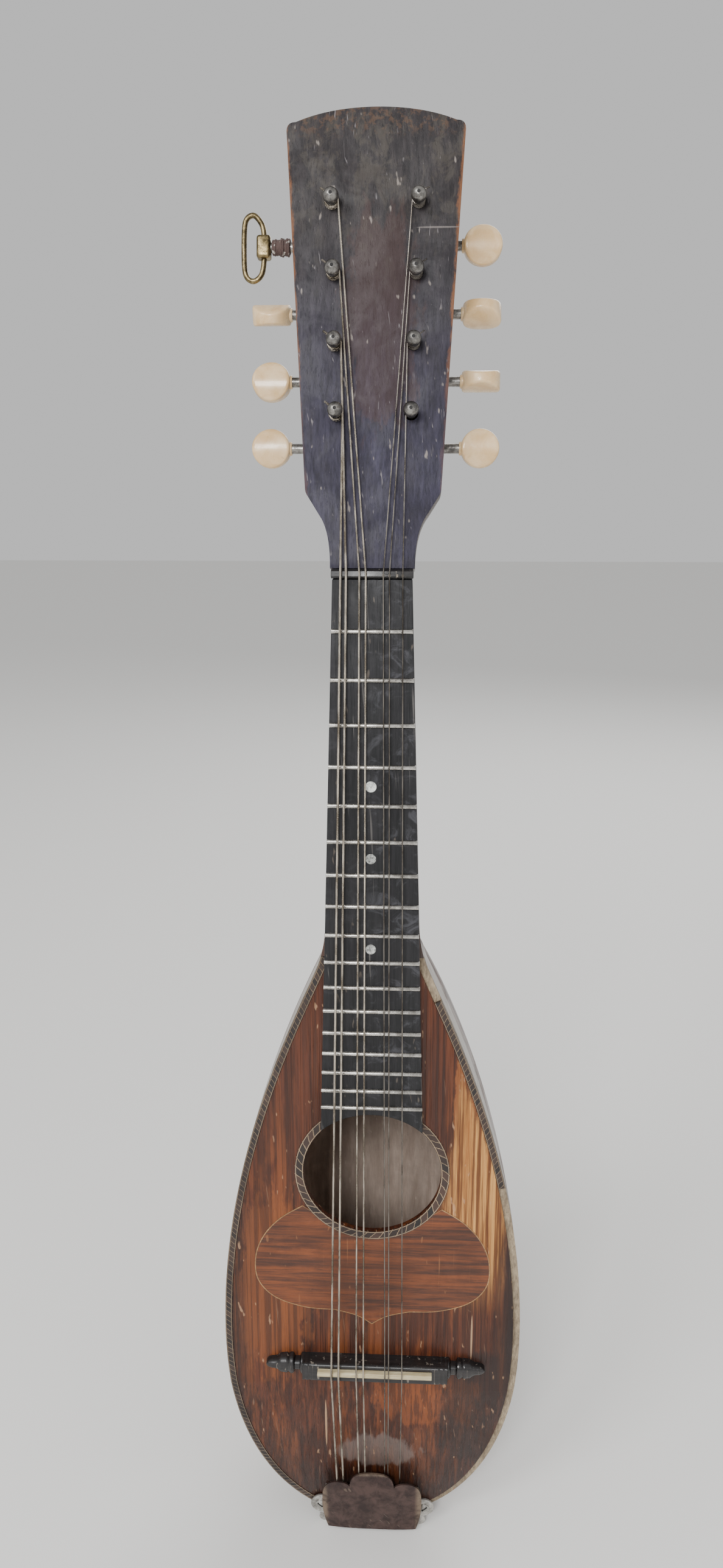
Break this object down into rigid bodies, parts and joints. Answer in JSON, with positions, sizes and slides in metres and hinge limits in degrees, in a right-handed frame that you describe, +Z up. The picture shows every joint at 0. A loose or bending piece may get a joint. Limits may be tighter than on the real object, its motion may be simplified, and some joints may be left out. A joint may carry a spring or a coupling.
{
  "type": "bowl-back mandolin",
  "caption": "Small bowl-back lute with a canted oval-hole top, fretted neck, angled headstock with geared tuners, bridge, strings and hinged tailpiece cover.",
  "frame": {"origin": "middle of the flat foot of the tailpiece, under the tail end of the body", "axes": "+Z up the neck towards the headstock, -Y the way the strings and soundboard face, +X to the right of someone facing the strings"},
  "size_m": [0.126, 0.116, 0.5853],
  "materials": {
    "bowl_ribs": "old varnish over ribs, satin, worn",
    "spruce_top": "aged red-brown varnish, worn through in places",
    "bare_wood": "unfinished",
    "neck_wood": "old varnish, satin",
    "ebonised_wood": "black stain, rubbed, satin",
    "inlay_wood": "dark inlay tiles between pale lines",
    "pickguard_wood": "thin polished plate, reddish brown",
    "bone": "cream, satin",
    "button_cream": "ivory-coloured, semi-gloss",
    "steel": "dull, aged",
    "string_wire": "bright steel and wound bronze",
    "dark_bronze": "dark brown patina with a lighter rubbed edge",
    "brass": "aged",
    "binding_thread": "matte thread"
  },
  "bodies": {
    "instrument": {"bowl": "bowl_ribs", "neck_block": "bare_wood", "tail_block": "bare_wood", "soundboard": "spruce_top", "brace_upper": "bare_wood", "brace_middle": "bare_wood", "brace_lower": "bare_wood", "pickguard": "pickguard_wood", "soundhole_ring": "inlay_wood", "binding_left": "inlay_wood", "binding_right": "inlay_wood", "neck": "neck_wood", "fingerboard": "ebonised_wood", "nut": "ebonised_wood", "headstock": "neck_wood", "headstock_veneer": "ebonised_wood", "tuner_plate_left": "steel", "tuner_plate_right": "steel", "bridge": "ebonised_wood", "saddle": "bone", "tailpiece_base": "steel", "tailpiece_hinge_pin": "steel", "string_g_outer": "string_wire", "string_g_inner": "string_wire", "string_d_outer": "string_wire", "string_d_inner": "string_wire", "string_a_inner": "string_wire", "string_a_outer": "string_wire", "string_e": "string_wire"},
    "tailpiece_lid": {"tailpiece_cover": "dark_bronze"},
    "tuner_left_1": {"worm_shaft_left_1": "steel", "thread_wrap": "binding_thread", "loop_collar": "brass"},
    "string_post_left_1": {"post_left_1": "steel"},
    "tuner_left_2": {"worm_shaft_left_2": "steel", "button_left_2": "button_cream"},
    "string_post_left_2": {"post_left_2": "steel"},
    "tuner_left_3": {"worm_shaft_left_3": "steel", "button_left_3": "button_cream"},
    "string_post_left_3": {"post_left_3": "steel"},
    "tuner_left_4": {"worm_shaft_left_4": "steel", "button_left_4": "button_cream"},
    "string_post_left_4": {"post_left_4": "steel"},
    "tuner_right_1": {"worm_shaft_right_1": "steel", "button_right_1": "button_cream"},
    "string_post_right_1": {"post_right_1": "steel"},
    "tuner_right_2": {"worm_shaft_right_2": "steel", "button_right_2": "button_cream"},
    "string_post_right_2": {"post_right_2": "steel"},
    "tuner_right_3": {"worm_shaft_right_3": "steel", "button_right_3": "button_cream"},
    "string_post_right_3": {"post_right_3": "steel"},
    "tuner_right_4": {"worm_shaft_right_4": "steel", "button_right_4": "button_cream"},
    "string_post_right_4": {"post_right_4": "steel"},
    "brass_loop": {"brass_loop": "brass"}
  },
  "joints": [
    {"name": "tailpiece_lid_hinge", "type": "hinge", "parent": "instrument", "child": "tailpiece_lid", "pos_m": [0, -0.01037, 0.0026], "axis": [1, 0, 0], "range_deg": [0, 90]},
    {"name": "tuner_left_1_turn", "type": "hinge", "parent": "instrument", "child": "tuner_left_1", "pos_m": [-0.01509, 0.0182, 0.54243], "axis": [1, 0, 0], "continuous": true},
    {"name": "post_left_1_turn", "type": "hinge", "parent": "instrument", "child": "string_post_left_1", "pos_m": [-0.01509, 0.0022, 0.55419], "axis": [0, 0.9848, -0.1736], "continuous": true},
    {"name": "tuner_left_2_turn", "type": "hinge", "parent": "instrument", "child": "tuner_left_2", "pos_m": [-0.01446, 0.01405, 0.5189], "axis": [1, 0, 0], "continuous": true},
    {"name": "post_left_2_turn", "type": "hinge", "parent": "instrument", "child": "string_post_left_2", "pos_m": [-0.01446, -0.00195, 0.53065], "axis": [0, 0.9848, -0.1736], "continuous": true},
    {"name": "tuner_left_3_turn", "type": "hinge", "parent": "instrument", "child": "tuner_left_3", "pos_m": [-0.01383, 0.0099, 0.49536], "axis": [1, 0, 0], "continuous": true},
    {"name": "post_left_3_turn", "type": "hinge", "parent": "instrument", "child": "string_post_left_3", "pos_m": [-0.01383, -0.0061, 0.50712], "axis": [0, 0.9848, -0.1736], "continuous": true},
    {"name": "tuner_left_4_turn", "type": "hinge", "parent": "instrument", "child": "tuner_left_4", "pos_m": [-0.0132, 0.00575, 0.47182], "axis": [1, 0, 0], "continuous": true},
    {"name": "post_left_4_turn", "type": "hinge", "parent": "instrument", "child": "string_post_left_4", "pos_m": [-0.0132, -0.01025, 0.48358], "axis": [0, 0.9848, -0.1736], "continuous": true},
    {"name": "tuner_right_1_turn", "type": "hinge", "parent": "instrument", "child": "tuner_right_1", "pos_m": [0.01509, 0.0182, 0.54243], "axis": [1, 0, 0], "continuous": true},
    {"name": "post_right_1_turn", "type": "hinge", "parent": "instrument", "child": "string_post_right_1", "pos_m": [0.01509, 0.0022, 0.55419], "axis": [0, 0.9848, -0.1736], "continuous": true},
    {"name": "tuner_right_2_turn", "type": "hinge", "parent": "instrument", "child": "tuner_right_2", "pos_m": [0.01446, 0.01405, 0.5189], "axis": [1, 0, 0], "continuous": true},
    {"name": "post_right_2_turn", "type": "hinge", "parent": "instrument", "child": "string_post_right_2", "pos_m": [0.01446, -0.00195, 0.53065], "axis": [0, 0.9848, -0.1736], "continuous": true},
    {"name": "tuner_right_3_turn", "type": "hinge", "parent": "instrument", "child": "tuner_right_3", "pos_m": [0.01383, 0.0099, 0.49536], "axis": [1, 0, 0], "continuous": true},
    {"name": "post_right_3_turn", "type": "hinge", "parent": "instrument", "child": "string_post_right_3", "pos_m": [0.01383, -0.0061, 0.50712], "axis": [0, 0.9848, -0.1736], "continuous": true},
    {"name": "tuner_right_4_turn", "type": "hinge", "parent": "instrument", "child": "tuner_right_4", "pos_m": [0.0132, 0.00575, 0.47182], "axis": [1, 0, 0], "continuous": true},
    {"name": "post_right_4_turn", "type": "hinge", "parent": "instrument", "child": "string_post_right_4", "pos_m": [0.0132, -0.01025, 0.48358], "axis": [0, 0.9848, -0.1736], "continuous": true},
    {"name": "brass_loop_swing", "type": "hinge", "parent": "tuner_left_1", "child": "brass_loop", "pos_m": [-0.0411, 0.0182, 0.54243], "axis": [0, 0.1736, 0.9848], "range_deg": [-80, 80]}
  ],
  "couplings": [
    {"joint": "post_left_1_turn", "follows": "tuner_left_1_turn", "ratio": 0.071429},
    {"joint": "post_left_2_turn", "follows": "tuner_left_2_turn", "ratio": 0.071429},
    {"joint": "post_left_3_turn", "follows": "tuner_left_3_turn", "ratio": 0.071429},
    {"joint": "post_left_4_turn", "follows": "tuner_left_4_turn", "ratio": 0.071429},
    {"joint": "post_right_1_turn", "follows": "tuner_right_1_turn", "ratio": 0.071429},
    {"joint": "post_right_2_turn", "follows": "tuner_right_2_turn", "ratio": 0.071429},
    {"joint": "post_right_3_turn", "follows": "tuner_right_3_turn", "ratio": 0.071429},
    {"joint": "post_right_4_turn", "follows": "tuner_right_4_turn", "ratio": 0.071429}
  ]
}
